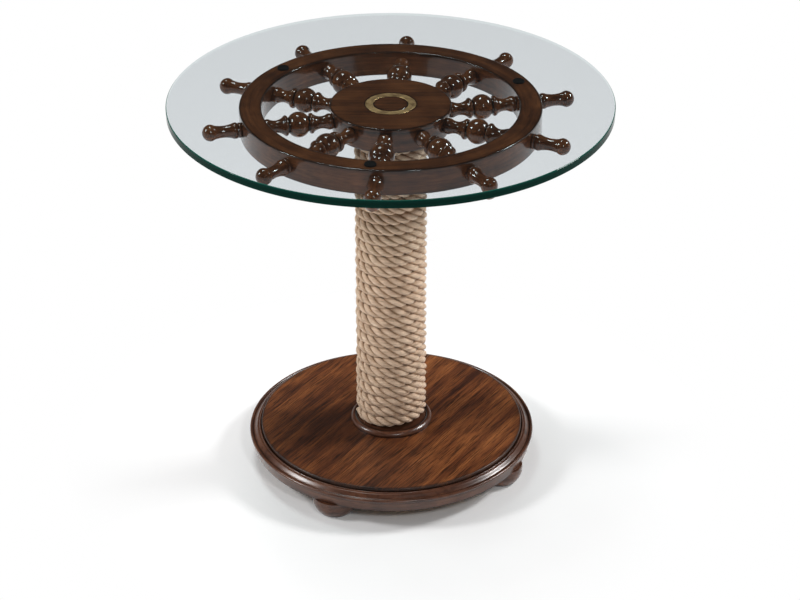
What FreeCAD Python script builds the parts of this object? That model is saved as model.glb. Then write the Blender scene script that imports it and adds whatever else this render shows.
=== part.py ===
import FreeCAD, Part
import math
import os
from types import SimpleNamespace

import Sketcher

# Driving dimensions in millimetres. Names that end in angle are in degrees,
# and names that end in share are parts of the size that they follow.
SIZES = {
    # Whole table
    "table_height": 609.6,
    "fit_clearance": 0.15,
    "rest_clearance": 0.3,
    # Glass top and the bumpers that it rests on
    "glass_diameter": 660.4,
    "glass_thickness": 12.7,
    "glass_arris": 1.2,
    "bumper_diameter": 17.5,
    "bumper_top_diameter": 15.0,
    "bumper_height": 3.0,
    "bumper_angle": 9.4,
    # Wheel rim, made of felloes that meet on dowels
    "rim_diameter": 447.2,
    "rim_width": 33.2,
    "rim_depth": 39.0,
    "rim_edge_radius": 2.0,
    "dowel_diameter": 9.5,
    "dowel_length": 38.0,
    "dowel_spacing": 14.0,
    # Spokes: a ball between two ring beads, and a vase shape out to each end
    "tenon_diameter": 12.0,
    "rim_tenon_length": 15.0,
    "hub_tenon_length": 25.0,
    "spoke_end_diameter": 20.8,
    "spoke_swell_diameter": 24.0,
    "spoke_neck_diameter": 17.4,
    "spoke_flare_diameter": 24.4,
    "spoke_ring_diameter": 30.0,
    "spoke_ring_length": 6.4,
    "spoke_groove_diameter": 22.8,
    "spoke_groove_length": 1.4,
    "spoke_ball_diameter": 38.0,
    "spoke_ball_length": 28.6,
    # Handles outside the rim
    "handle_length": 57.5,
    "handle_ring_diameter": 22.8,
    "handle_ring_length": 4.4,
    "handle_groove_diameter": 19.0,
    "handle_groove_length": 1.0,
    "handle_shoulder_diameter": 24.0,
    "handle_waist_diameter": 17.8,
    "handle_knob_diameter": 25.0,
    # Hub, its cap and the inlay in the cap
    "hub_diameter": 174.0,
    "hub_height": 40.0,
    "hub_edge_radius": 3.0,
    "hub_cap_overhang": 3.0,
    "hub_cap_thickness": 7.0,
    "hub_cap_edge_radius": 1.5,
    "brass_outer_diameter": 75.0,
    "brass_inner_diameter": 52.6,
    "brass_edge": 0.5,
    "inlay_depth": 3.0,
    "nut_access_margin": 2.0,
    # Column: a turned post under one rope
    "column_diameter": 110.0,
    "rope_diameter": 18.5,
    "rope_gap": 0.6,
    "rope_end_drop": 1.5,
    "rope_start_angle": 165.0,
    "post_tenon_diameter": 48.0,
    "post_tenon_length": 10.0,
    # Tie rod that clamps base, post and hub together
    "rod_diameter": 12.0,
    "rod_hole_room": 0.5,
    "nut_across_flats": 19.0,
    "nut_height": 10.0,
    "washer_diameter": 30.0,
    "washer_thickness": 2.5,
    "washer_room": 3.0,
    "counterbore_spare": 0.5,
    # Collar at the foot of the column
    "collar_height": 8.6,
    "collar_floor_drop": 1.3,
    "collar_foot_height": 2.0,
    "collar_foot_width": 2.2,
    "collar_ridge_width": 6.0,
    # Base: core, raised panel and moulded rim
    "base_diameter": 446.8,
    "base_core_thickness": 20.0,
    "base_panel_thickness": 11.6,
    "panel_edge_radius": 2.5,
    "panel_groove_width": 1.2,
    "panel_inset": 18.4,
    "moulding_width": 23.5,
    "moulding_foot_inset": 5.0,
    "moulding_band_inset": 2.5,
    "moulding_band_height": 15.0,
    "moulding_quirk": 0.8,
    "moulding_bead_height": 4.0,
    "moulding_bead_inset": 5.0,
    "moulding_cove_depth": 1.0,
    "moulding_lip_width": 2.6,
    "moulding_lip_height": 6.3,
    # Bun feet, their bolts and glides
    "foot_height": 28.0,
    "foot_diameter": 70.0,
    "foot_top_diameter": 69.1,
    "foot_bottom_diameter": 54.0,
    "foot_inset": 34.0,
    "foot_angle": 50.5,
    "foot_bolt_diameter": 8.0,
    "foot_bolt_depth": 18.0,
    "core_bolt_depth": 14.0,
    "glide_diameter": 24.0,
    "glide_thickness": 1.5,
}

SPOKE_COUNT = 10
SPOKES_PER_FELLOE = 2
BUMPER_COUNT = 3
FOOT_COUNT = 4
NUT_SIDES = 6
FULL_TURN = 360.0
QUARTER_TURN = FULL_TURN / 4
HALF_ROOT = math.sqrt(0.5)
UP = FreeCAD.Vector(0, 0, 1)

MIDDLE_SHARE = 0.5
# Shares of the dowel spacing, to each side of the middle of the rim
DOWEL_SIDE_SHARES = {"inner": -0.5, "outer": 0.5}
# Shares of the stretch from a spoke's end to its ring bead
SWELL_CREST_SHARE = 0.14
SWELL_END_SHARE = 0.32
NECK_SHARE = 0.60
SWELL_END_DIAMETER_SHARE = 0.68
# Shares of a handle's length from the rim
SHOULDER_CREST_SHARE = 0.14
SHOULDER_END_SHARE = 0.24
WAIST_SHARE = 0.48
KNOB_START_SHARE = 0.68
# Shares of the way from waist to shoulder and to knob
SHOULDER_END_DIAMETER_SHARE = 0.62
KNOB_START_DIAMETER_SHARE = 0.42
KNOB_RISE_SHARE = 0.80
BUMPER_SIDE_SHARE = 0.4
FOOT_CREST_SHARE = 0.8
BEAD_CREST_SHARE = 0.55
# Points on each turn of the rope where its gap to the next turn is measured
GAP_POINTS_PER_TURN = 36
ARCS_PER_ROPE_TURN = 4


class Size:
    """A size, held as its number and as the sheet formula that gives it."""

    def __init__(self, value, formula):
        self.value = value
        self.formula = formula

    def __add__(self, other):
        return Size(self.value + number(other), f"({self.formula} + {formula(other)})")

    def __sub__(self, other):
        return Size(self.value - number(other), f"({self.formula} - {formula(other)})")

    def __mul__(self, other):
        return Size(self.value * number(other), f"({self.formula} * {formula(other)})")

    def __truediv__(self, other):
        return Size(self.value / number(other), f"({self.formula} / {formula(other)})")


def number(size):
    return size.value if isinstance(size, Size) else size


def formula(size):
    return size.formula if isinstance(size, Size) else repr(size)


def root(size):
    return Size(math.sqrt(size.value), f"sqrt({size.formula})")


def between(first, last, share):
    return first + (last - first) * share


doc = FreeCAD.newDocument("accent_table")
sheet = doc.addObject("Spreadsheet::Sheet", "Sizes")
for row, (name, value) in enumerate(SIZES.items(), start=1):
    sheet.set(f"A{row}", name)
    sheet.set(f"B{row}", str(value))
    sheet.setAlias(f"B{row}", name)
doc.recompute()
size = SimpleNamespace(**{name: Size(sheet.get(name), f"Sizes.{name}") for name in SIZES})

# Heights above the floor
glass_bottom = size.table_height - size.glass_thickness
wheel_top = glass_bottom - size.bumper_height
wheel_middle = wheel_top - size.rim_depth / 2
cap_bottom = wheel_top - size.hub_cap_thickness
inlay_floor = wheel_top - size.inlay_depth
hub_bottom = wheel_top - size.hub_height
core_top = size.foot_height + size.base_core_thickness
panel_top = core_top + size.base_panel_thickness
collar_top = panel_top + size.collar_height
collar_floor = collar_top - size.collar_floor_drop

# Radii and places that several pieces share
rim_outer = size.rim_diameter / 2
rim_inner = rim_outer - size.rim_width
rim_centre = rim_outer - size.rim_width / 2
hub_radius = size.hub_diameter / 2
tenon_radius = size.tenon_diameter / 2
bore_radius = tenon_radius + size.fit_clearance
column_radius = size.column_diameter / 2
rope_radius = size.rope_diameter / 2
rope_line_radius = column_radius - rope_radius
post_radius = column_radius - size.rope_diameter - size.rest_clearance
post_tenon_radius = size.post_tenon_diameter / 2
post_socket_radius = post_tenon_radius + size.fit_clearance
rod_hole_radius = size.rod_diameter / 2 + size.rod_hole_room
counterbore_radius = size.washer_diameter / 2 + size.washer_room
counterbore_depth = size.washer_thickness + size.nut_height + size.counterbore_spare
base_radius = size.base_diameter / 2
core_radius = base_radius - size.moulding_width
panel_radius = base_radius - size.panel_inset
foot_circle_radius = base_radius - size.foot_inset
foot_bolt_radius = size.foot_bolt_diameter / 2
foot_hole_radius = foot_bolt_radius + size.fit_clearance

spoke_step = FULL_TURN / SPOKE_COUNT
felloe_count = SPOKE_COUNT // SPOKES_PER_FELLOE
felloe_angle = FULL_TURN / felloe_count
pieces = []


def keep(piece):
    """Lists a finished piece of the table."""
    pieces.append(piece)
    return piece


def place(piece, x=0, y=0, z=0, axis=UP, angle=0):
    """Puts a piece where its sizes say, turned by an angle about an axis."""
    spot = FreeCAD.Vector(number(x), number(y), number(z))
    piece.Placement = FreeCAD.Placement(spot, FreeCAD.Rotation(axis, angle))
    for letter, distance in zip("xyz", (x, y, z)):
        if isinstance(distance, Size):
            piece.setExpression(f"Placement.Base.{letter}", distance.formula)
    return piece


def place_round(piece, radius, angle, z):
    """Puts a piece on a circle about the column's axis."""
    turn = math.radians(angle)
    return place(piece, radius * math.cos(turn), radius * math.sin(turn), z, angle=angle)


def line(x, y):
    return (None, (x, y))


def arc(middle_x, middle_y, x, y):
    return ((middle_x, middle_y), (x, y))


def corner(point):
    return FreeCAD.Vector(number(point[0]), number(point[1]), 0)


def sketch_on(body, role, name):
    """Starts a sketch on one of the body's own origin planes."""
    sketch = body.newObject("Sketcher::SketchObject", name)
    plane = [feature for feature in body.Origin.OriginFeatures if feature.Role == role][0]
    sketch.AttachmentSupport = (plane, [""])
    sketch.MapMode = "FlatFace"
    return sketch


def hold_point(rules, formulas, index, end, point):
    """Holds one point of a sketch on an axis or at its sizes."""
    for kind, axis, distance in (("DistanceX", -2, point[0]), ("DistanceY", -1, point[1])):
        if isinstance(distance, Size):
            formulas[len(rules)] = distance.formula
            rules.append(Sketcher.Constraint(kind, -1, 1, index, end, distance.value))
        else:
            rules.append(Sketcher.Constraint("PointOnObject", index, end, axis))


def apply_rules(sketch, rules, formulas):
    sketch.addConstraint(rules)
    for index, text in formulas.items():
        sketch.setExpression(f"Constraints[{index}]", text)


def draw(sketch, start, *steps):
    """Draws a closed outline of lines and arcs. An arc passes through its middle point."""
    stretches = []
    ends = []
    middles = {}
    outline = list(steps)
    if not corner(outline[-1][1]).isEqual(corner(start), Part.Precision.confusion()):
        outline.append(line(*start))
    here = start
    for middle, there in outline:
        first = corner(here)
        last = corner(there)
        if middle is None:
            stretches.append(Part.LineSegment(first, last))
            ends.append((1, 2))
        else:
            bend = corner(middle)
            turns_left = (bend - first).cross(last - bend).z > 0
            middles[len(stretches)] = middle
            stretches.append(Part.Arc(first, bend, last) if turns_left else Part.Arc(last, bend, first))
            ends.append((1, 2) if turns_left else (2, 1))
        here = there
    sketch.addGeometry(stretches, False)
    rules = []
    formulas = {}
    vertices = [start] + [there for middle, there in outline[:-1]]
    for index, (first_end, last_end) in enumerate(ends):
        following = (index + 1) % len(ends)
        rules.append(Sketcher.Constraint("Coincident", index, last_end, following, ends[following][0]))
        hold_point(rules, formulas, index, first_end, vertices[index])
    for index, middle in middles.items():
        mark = sketch.addGeometry(Part.Point(corner(middle)), True)
        hold_point(rules, formulas, mark, 1, middle)
        rules.append(Sketcher.Constraint("PointOnObject", mark, 1, index))
    apply_rules(sketch, rules, formulas)


def draw_circle(sketch, x, y, radius):
    """Draws a circle at a place and of a radius that the sizes give."""
    sketch.addGeometry(Part.Circle(corner((x, y)), UP, number(radius)), False)
    rules = []
    formulas = {}
    hold_point(rules, formulas, 0, 3, (x, y))
    formulas[len(rules)] = formula(radius)
    rules.append(Sketcher.Constraint("Radius", 0, number(radius)))
    apply_rules(sketch, rules, formulas)


def turned(name, axis, start, *steps, angle=FULL_TURN):
    """A piece turned on a lathe: an outline in the XZ plane, spun about one of its axes."""
    body = doc.addObject("PartDesign::Body", name)
    profile = sketch_on(body, "XZ_Plane", f"{name}_profile")
    draw(profile, start, *steps)
    turning = body.newObject("PartDesign::Revolution", f"{name}_turning")
    turning.Profile = profile
    turning.ReferenceAxis = (profile, [axis])
    turning.Angle = angle
    doc.recompute()
    return body


def bore(body, sketch, depth=None, both_ways=False):
    """Cuts a sketched hole along the sketch's normal, to a depth or right through."""
    before = body.Shape.Volume
    cut = body.newObject("PartDesign::Pocket", f"{sketch.Name}_bore")
    cut.Profile = sketch
    cut.Reversed = not both_ways
    if depth is None:
        cut.Type = "ThroughAll"
    else:
        cut.Length = depth.value
        cut.setExpression("Length", depth.formula)
    if both_ways:
        cut.Midplane = True
    doc.recompute()
    if body.Shape.Volume >= before:
        raise ValueError(f"{sketch.Name} cut nothing")
    return cut


def repeat_round(body, feature, count, angle):
    """Repeats a cut about the body's upright axis."""
    upright = [part for part in body.Origin.OriginFeatures if part.Role == "Z_Axis"][0]
    pattern = body.newObject("PartDesign::PolarPattern", f"{feature.Name}_pattern")
    pattern.Originals = [feature]
    pattern.Axis = (upright, [""])
    pattern.Angle = angle
    pattern.Occurrences = count
    body.Tip = pattern
    doc.recompute()


def rod(name, radius, height):
    """A plain round bar, upright until it is placed."""
    bar = doc.addObject("Part::Cylinder", name)
    bar.setExpression("Radius", radius.formula)
    bar.setExpression("Height", height.formula)
    return bar


def group(name, members):
    """Like pieces that share one name, each a solid of its own."""
    together = doc.addObject("Part::Compound", name)
    together.Links = members
    return keep(together)


def make_glass():
    radius = size.glass_diameter / 2
    keep(turned(
        "glass_top", "V_Axis",
        (0, glass_bottom),
        line(radius - size.glass_arris, glass_bottom),
        line(radius, glass_bottom + size.glass_arris),
        line(radius, size.table_height - size.glass_arris),
        line(radius - size.glass_arris, size.table_height),
        line(0, size.table_height)))


def make_bumpers():
    radius = size.bumper_diameter / 2
    top_radius = size.bumper_top_diameter / 2
    side = size.bumper_height * BUMPER_SIDE_SHARE
    for number_on_rim in range(BUMPER_COUNT):
        bumper = turned(
            f"glass_bumper_{number_on_rim + 1}", "V_Axis",
            (0, 0),
            line(radius, 0),
            line(radius, side),
            arc(between(top_radius, radius, HALF_ROOT), between(side, size.bumper_height, HALF_ROOT),
                top_radius, size.bumper_height),
            line(0, size.bumper_height))
        angle = size.bumper_angle.value + FULL_TURN * number_on_rim / BUMPER_COUNT
        keep(place_round(bumper, rim_centre, angle, wheel_top))


def make_felloe(number_on_rim):
    """One curved segment of the rim, with its spoke bores and the dowel holes in its two ends."""
    low = wheel_top - size.rim_depth
    ease = size.rim_edge_radius
    near = ease * (1 - HALF_ROOT)
    name = f"rim_felloe_{number_on_rim + 1}"
    felloe = turned(
        name, "V_Axis",
        (rim_inner + ease, low),
        line(rim_outer - ease, low),
        arc(rim_outer - near, low + near, rim_outer, low + ease),
        line(rim_outer, wheel_top - ease),
        arc(rim_outer - near, wheel_top - near, rim_outer - ease, wheel_top),
        line(rim_inner + ease, wheel_top),
        arc(rim_inner + near, wheel_top - near, rim_inner, wheel_top - ease),
        line(rim_inner, low + ease),
        arc(rim_inner + near, low + near, rim_inner + ease, low),
        angle=felloe_angle)
    spoke_hole = sketch_on(felloe, "YZ_Plane", f"{name}_spoke_hole")
    first_spoke = FreeCAD.Rotation(FreeCAD.Vector(0, 1, 0), spoke_step / 2)
    spoke_hole.AttachmentOffset = FreeCAD.Placement(FreeCAD.Vector(), first_spoke)
    draw_circle(spoke_hole, 0, wheel_middle, bore_radius)
    repeat_round(felloe, bore(felloe, spoke_hole), SPOKES_PER_FELLOE, spoke_step)
    for side, share in DOWEL_SIDE_SHARES.items():
        dowel_hole = sketch_on(felloe, "XZ_Plane", f"{name}_{side}_dowel_hole")
        draw_circle(dowel_hole, rim_centre + size.dowel_spacing * share, wheel_middle,
                    size.dowel_diameter / 2 + size.fit_clearance)
        depth = size.dowel_length + size.rest_clearance * 2
        repeat_round(felloe, bore(felloe, dowel_hole, depth, both_ways=True), 2, felloe_angle)
    keep(place(felloe, angle=felloe_angle * number_on_rim - spoke_step / 2))


def make_rim_dowels():
    dowels = []
    for joint in range(felloe_count):
        angle = felloe_angle * joint - spoke_step / 2
        turn = math.radians(angle)
        along = FreeCAD.Vector(math.cos(turn), math.sin(turn), 0)
        half = size.dowel_length / 2
        for side, share in DOWEL_SIDE_SHARES.items():
            radius = rim_centre + size.dowel_spacing * share
            dowel = rod(f"dowel_{joint + 1}_{side}", size.dowel_diameter / 2, size.dowel_length)
            place(dowel, radius * along.x + half * along.y, radius * along.y - half * along.x,
                  wheel_middle, along, -QUARTER_TURN)
            dowels.append(dowel)
    group("rim_joint_dowels", dowels)


def make_spoke(number_on_wheel):
    """A spoke lies along X, its ball halfway between the hub and the rim."""
    end_radius = size.spoke_end_diameter / 2
    swell_radius = size.spoke_swell_diameter / 2
    neck_radius = size.spoke_neck_diameter / 2
    flare_radius = size.spoke_flare_diameter / 2
    ring_radius = size.spoke_ring_diameter / 2
    groove_radius = size.spoke_groove_diameter / 2
    swell_end_radius = between(neck_radius, swell_radius, SWELL_END_DIAMETER_SHARE)
    hub_face = hub_radius + size.fit_clearance
    rim_face = root(rim_inner * rim_inner - swell_radius * swell_radius) - size.fit_clearance
    centre = (hub_face + rim_face) / 2
    ball = size.spoke_ball_length / 2
    groove = ball + size.spoke_groove_length
    ring = groove + size.spoke_ring_length
    ring_crest = groove + size.spoke_ring_length / 2
    vase = centre - ring - hub_face
    spoke = turned(
        f"spoke_{number_on_wheel + 1}", "H_Axis",
        (hub_radius - size.hub_tenon_length, 0),
        line(hub_radius - size.hub_tenon_length, tenon_radius),
        line(hub_face, tenon_radius),
        line(hub_face, end_radius),
        arc(hub_face + vase * SWELL_CREST_SHARE, swell_radius,
            hub_face + vase * SWELL_END_SHARE, swell_end_radius),
        arc(hub_face + vase * NECK_SHARE, neck_radius, centre - ring, flare_radius),
        arc(centre - ring_crest, ring_radius, centre - groove, flare_radius),
        line(centre - groove, groove_radius),
        line(centre - ball, groove_radius),
        arc(centre, size.spoke_ball_diameter / 2, centre + ball, groove_radius),
        line(centre + groove, groove_radius),
        line(centre + groove, flare_radius),
        arc(centre + ring_crest, ring_radius, centre + ring, flare_radius),
        arc(rim_face - vase * NECK_SHARE, neck_radius,
            rim_face - vase * SWELL_END_SHARE, swell_end_radius),
        arc(rim_face - vase * SWELL_CREST_SHARE, swell_radius, rim_face, end_radius),
        line(rim_face, tenon_radius),
        line(rim_inner + size.rim_tenon_length, tenon_radius),
        line(rim_inner + size.rim_tenon_length, 0))
    keep(place(spoke, z=wheel_middle, angle=spoke_step * number_on_wheel))


def make_handle(number_on_wheel):
    """A handle lies along X, its tenon in the same bore as the spoke behind it."""
    face = rim_outer + size.fit_clearance
    tip = face + size.handle_length
    ring_radius = size.handle_ring_diameter / 2
    groove_radius = size.handle_groove_diameter / 2
    shoulder_radius = size.handle_shoulder_diameter / 2
    waist_radius = size.handle_waist_diameter / 2
    knob_radius = size.handle_knob_diameter / 2
    ring_end = face + size.handle_ring_length
    groove_end = ring_end + size.handle_groove_length
    knob_centre = tip - knob_radius
    knob_start = face + size.handle_length * KNOB_START_SHARE
    handle = turned(
        f"handle_{number_on_wheel + 1}", "H_Axis",
        (rim_outer - size.rim_tenon_length, 0),
        line(rim_outer - size.rim_tenon_length, tenon_radius),
        line(face, tenon_radius),
        line(face, between(groove_radius, ring_radius, HALF_ROOT)),
        arc(face + size.handle_ring_length / 2, ring_radius,
            ring_end, between(groove_radius, ring_radius, HALF_ROOT)),
        line(ring_end, groove_radius),
        line(groove_end, groove_radius),
        line(groove_end, between(groove_radius, shoulder_radius, HALF_ROOT)),
        arc(face + size.handle_length * SHOULDER_CREST_SHARE, shoulder_radius,
            face + size.handle_length * SHOULDER_END_SHARE,
            between(waist_radius, shoulder_radius, SHOULDER_END_DIAMETER_SHARE)),
        arc(face + size.handle_length * WAIST_SHARE, waist_radius,
            knob_start, between(waist_radius, knob_radius, KNOB_START_DIAMETER_SHARE)),
        arc(between(knob_start, knob_centre, MIDDLE_SHARE),
            between(waist_radius, knob_radius, KNOB_RISE_SHARE), knob_centre, knob_radius),
        arc(knob_centre + knob_radius * HALF_ROOT, knob_radius * HALF_ROOT, tip, 0))
    keep(place(handle, z=wheel_middle, angle=spoke_step * number_on_wheel))


def make_hub():
    """The hub has a blind mortise for each spoke, a socket below and a counterbore above."""
    ease = size.hub_edge_radius
    near = ease * (1 - HALF_ROOT)
    socket_top = hub_bottom + size.post_tenon_length + size.rest_clearance
    hub = turned(
        "hub_body", "V_Axis",
        (counterbore_radius, cap_bottom),
        line(hub_radius, cap_bottom),
        line(hub_radius, hub_bottom + ease),
        arc(hub_radius - near, hub_bottom + near, hub_radius - ease, hub_bottom),
        line(post_socket_radius, hub_bottom),
        line(post_socket_radius, socket_top),
        line(rod_hole_radius, socket_top),
        line(rod_hole_radius, cap_bottom - counterbore_depth),
        line(counterbore_radius, cap_bottom - counterbore_depth))
    mortise = sketch_on(hub, "YZ_Plane", "spoke_mortise")
    floor = hub_radius - size.hub_tenon_length - size.rest_clearance
    mortise.AttachmentOffset = FreeCAD.Placement(UP * floor.value, FreeCAD.Rotation())
    mortise.setExpression("AttachmentOffset.Base.z", floor.formula)
    draw_circle(mortise, 0, wheel_middle, bore_radius)
    repeat_round(hub, bore(hub, mortise), SPOKE_COUNT, FULL_TURN)
    keep(hub)


def make_hub_cap():
    radius = hub_radius + size.hub_cap_overhang
    ease = size.hub_cap_edge_radius
    near = ease * (1 - HALF_ROOT)
    access_radius = counterbore_radius + size.nut_access_margin
    recess_radius = size.brass_outer_diameter / 2 + size.fit_clearance
    keep(turned(
        "hub_cap", "V_Axis",
        (access_radius, cap_bottom),
        line(radius, cap_bottom),
        line(radius, wheel_top - ease),
        arc(radius - near, wheel_top - near, radius - ease, wheel_top),
        line(recess_radius, wheel_top),
        line(recess_radius, inlay_floor),
        line(access_radius, inlay_floor)))


def make_inlay():
    """The brass ring and the wood plug inside it fill one recess in the cap."""
    outer = size.brass_outer_diameter / 2
    inner = size.brass_inner_diameter / 2
    edge = size.brass_edge
    keep(turned(
        "brass_ring", "V_Axis",
        (inner, inlay_floor),
        line(outer, inlay_floor),
        line(outer, wheel_top - edge),
        line(outer - edge, wheel_top),
        line(inner + edge, wheel_top),
        line(inner, wheel_top - edge)))
    plug_radius = inner - size.fit_clearance
    keep(turned(
        "hub_plug", "V_Axis",
        (0, inlay_floor),
        line(plug_radius, inlay_floor),
        line(plug_radius, wheel_top - edge),
        line(plug_radius - edge, wheel_top),
        line(0, wheel_top)))


def make_post():
    tenon_top = hub_bottom + size.post_tenon_length
    keep(turned(
        "column_post", "V_Axis",
        (rod_hole_radius, core_top),
        line(post_tenon_radius, core_top),
        line(post_tenon_radius, panel_top),
        line(post_radius, panel_top),
        line(post_radius, hub_bottom),
        line(post_tenon_radius, hub_bottom),
        line(post_tenon_radius, tenon_top),
        line(rod_hole_radius, tenon_top)))


def arc_from(point, tangent, end):
    """The arc that leaves a point along a tangent and ends at another point."""
    chord = end - point
    side = chord - tangent * chord.dot(tangent)
    centre = point + side * (chord.dot(chord) / (2 * side.dot(side)))
    radius = (point - centre).Length
    middle = centre + ((point + end) * 0.5 - centre).normalize() * radius
    return Part.Arc(point, middle, end).toShape()


def biarc(first, first_tangent, last, last_tangent):
    """Two arcs, tangent to each other and to the path at both ends."""
    chord = last - first
    both = first_tangent + last_tangent
    square = 2 * (1 - first_tangent.dot(last_tangent))
    linear = chord.dot(both)
    reach = (math.sqrt(linear * linear + square * chord.dot(chord)) - linear) / square
    joint = (first + first_tangent * reach + last - last_tangent * reach) * 0.5
    joint_tangent = (last - last_tangent * reach - first - first_tangent * reach).normalize()
    return [arc_from(first, first_tangent, joint), arc_from(joint, joint_tangent, last)]


def least_rope_gap(path, thickness):
    """The least gap between each turn of the rope and the next one up, on points along its line."""
    turns = len(path.Edges) // ARCS_PER_ROPE_TURN
    points = path.discretize(Number=GAP_POINTS_PER_TURN * turns)
    least = math.inf
    for index, point in enumerate(points):
        later = points[index + GAP_POINTS_PER_TURN // 2:index + GAP_POINTS_PER_TURN * 2]
        for other in later:
            least = min(least, point.distanceToPoint(other))
    return least - thickness


def make_rope():
    """One rope, wound round the post from the collar to the hub, with straight ends."""
    thickness = size.rope_diameter.value
    radius = rope_line_radius.value
    bottom = (collar_floor + size.rest_clearance + rope_radius + size.rope_end_drop).value
    top = (hub_bottom - size.rest_clearance - rope_radius - size.rope_end_drop).value
    turns = int((top - bottom) / (thickness + size.rope_gap.value))
    pitch = (top - bottom) / turns
    rise = pitch / (2 * math.pi)
    start_angle = math.radians(size.rope_start_angle.value)
    stations = []
    for half_turn in range(2 * turns + 1):
        swept = math.pi * half_turn
        angle = start_angle + swept
        height = bottom + rise * swept
        spot = FreeCAD.Vector(radius * math.cos(angle), radius * math.sin(angle), height)
        tangent = FreeCAD.Vector(-radius * math.sin(angle), radius * math.cos(angle), rise)
        stations.append((spot, tangent.normalize()))
    first, first_tangent = stations[0]
    last, last_tangent = stations[-1]
    start = first - first_tangent * thickness
    edges = [Part.LineSegment(start, first).toShape()]
    for (spot, tangent), (next_spot, next_tangent) in zip(stations, stations[1:]):
        edges += biarc(spot, tangent, next_spot, next_tangent)
    edges.append(Part.LineSegment(last, last + last_tangent * thickness).toShape())
    path = Part.Wire(edges)
    section = Part.Wire([Part.Circle(start, first_tangent, thickness / 2).toShape()])
    shell = Part.BRepOffsetAPI.MakePipeShell(path)
    shell.add(section)
    shell.build()
    shell.makeSolid()
    rope = doc.addObject("Part::Feature", "rope_winding")
    rope.Shape = shell.shape()
    expected = path.Length * math.pi * thickness * thickness / 4
    print(f"rope: {turns} turns, length {path.Length:.0f} mm, "
          f"volume ratio {rope.Shape.Volume / expected:.4f}, "
          f"least gap to itself {least_rope_gap(path, thickness):.2f} mm")
    keep(rope)


def make_tie_rod():
    """A rod through base, post and hub, with a washer and a nut sunk at each end."""
    rod_radius = size.rod_diameter / 2
    core_seat = size.foot_height + counterbore_depth
    hub_seat = cap_bottom - counterbore_depth
    rod_bottom = core_seat - size.washer_thickness - size.nut_height
    rod_top = hub_seat + size.washer_thickness + size.nut_height
    keep(place(rod("tie_rod", rod_radius, rod_top - rod_bottom), z=rod_bottom))
    places = {"top": (hub_seat, hub_seat + size.washer_thickness),
              "bottom": (core_seat - size.washer_thickness, rod_bottom)}
    for end, (washer_low, nut_low) in places.items():
        washer = doc.addObject("Part::Cut", f"{end}_washer")
        washer.Base = rod(f"{end}_washer_blank", size.washer_diameter / 2, size.washer_thickness)
        washer.Tool = rod(f"{end}_washer_hole", rod_hole_radius, size.washer_thickness)
        keep(place(washer, z=washer_low))
        blank = doc.addObject("Part::Prism", f"{end}_nut_blank")
        blank.Polygon = NUT_SIDES
        blank.setExpression("Circumradius", (size.nut_across_flats / math.sqrt(3)).formula)
        blank.setExpression("Height", size.nut_height.formula)
        nut = doc.addObject("Part::Cut", f"{end}_nut")
        nut.Base = blank
        nut.Tool = rod(f"{end}_nut_hole", rod_radius + size.fit_clearance, size.nut_height)
        keep(place(nut, z=nut_low))


def make_collar():
    """The turned ring that the rope stands on, with a rounded ridge round its edge."""
    ridge_inner = column_radius + size.rest_clearance
    ridge_outer = ridge_inner + size.collar_ridge_width
    foot = ridge_outer + size.collar_foot_width
    foot_top = panel_top + size.collar_foot_height
    bore_edge = post_radius + size.fit_clearance
    keep(turned(
        "base_collar", "V_Axis",
        (bore_edge, panel_top),
        line(foot, panel_top),
        line(foot, foot_top),
        arc(between(ridge_outer, foot, HALF_ROOT), between(foot_top, collar_floor, HALF_ROOT),
            ridge_outer, collar_floor),
        arc(between(ridge_outer, ridge_inner, MIDDLE_SHARE), collar_top, ridge_inner, collar_floor),
        line(bore_edge, collar_floor)))


def make_base_core():
    core = turned(
        "base_core", "V_Axis",
        (rod_hole_radius, core_top),
        line(core_radius, core_top),
        line(core_radius, size.foot_height),
        line(counterbore_radius, size.foot_height),
        line(counterbore_radius, size.foot_height + counterbore_depth),
        line(rod_hole_radius, size.foot_height + counterbore_depth))
    bolt_hole = sketch_on(core, "XY_Plane", "foot_bolt_hole")
    first_foot = FreeCAD.Rotation(UP, size.foot_angle.value)
    bolt_hole.AttachmentOffset = FreeCAD.Placement(UP * size.foot_height.value, first_foot)
    bolt_hole.setExpression("AttachmentOffset.Base.z", size.foot_height.formula)
    draw_circle(bolt_hole, foot_circle_radius, 0, foot_hole_radius)
    hole = bore(core, bolt_hole, size.core_bolt_depth + size.rest_clearance)
    repeat_round(core, hole, FOOT_COUNT, FULL_TURN)
    keep(core)


def make_base_panel():
    ease = size.panel_edge_radius
    near = ease * (1 - HALF_ROOT)
    keep(turned(
        "base_panel", "V_Axis",
        (post_socket_radius, core_top),
        line(panel_radius, core_top),
        line(panel_radius, panel_top - ease),
        arc(panel_radius - near, panel_top - near, panel_radius - ease, panel_top),
        line(post_socket_radius, panel_top)))


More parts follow.
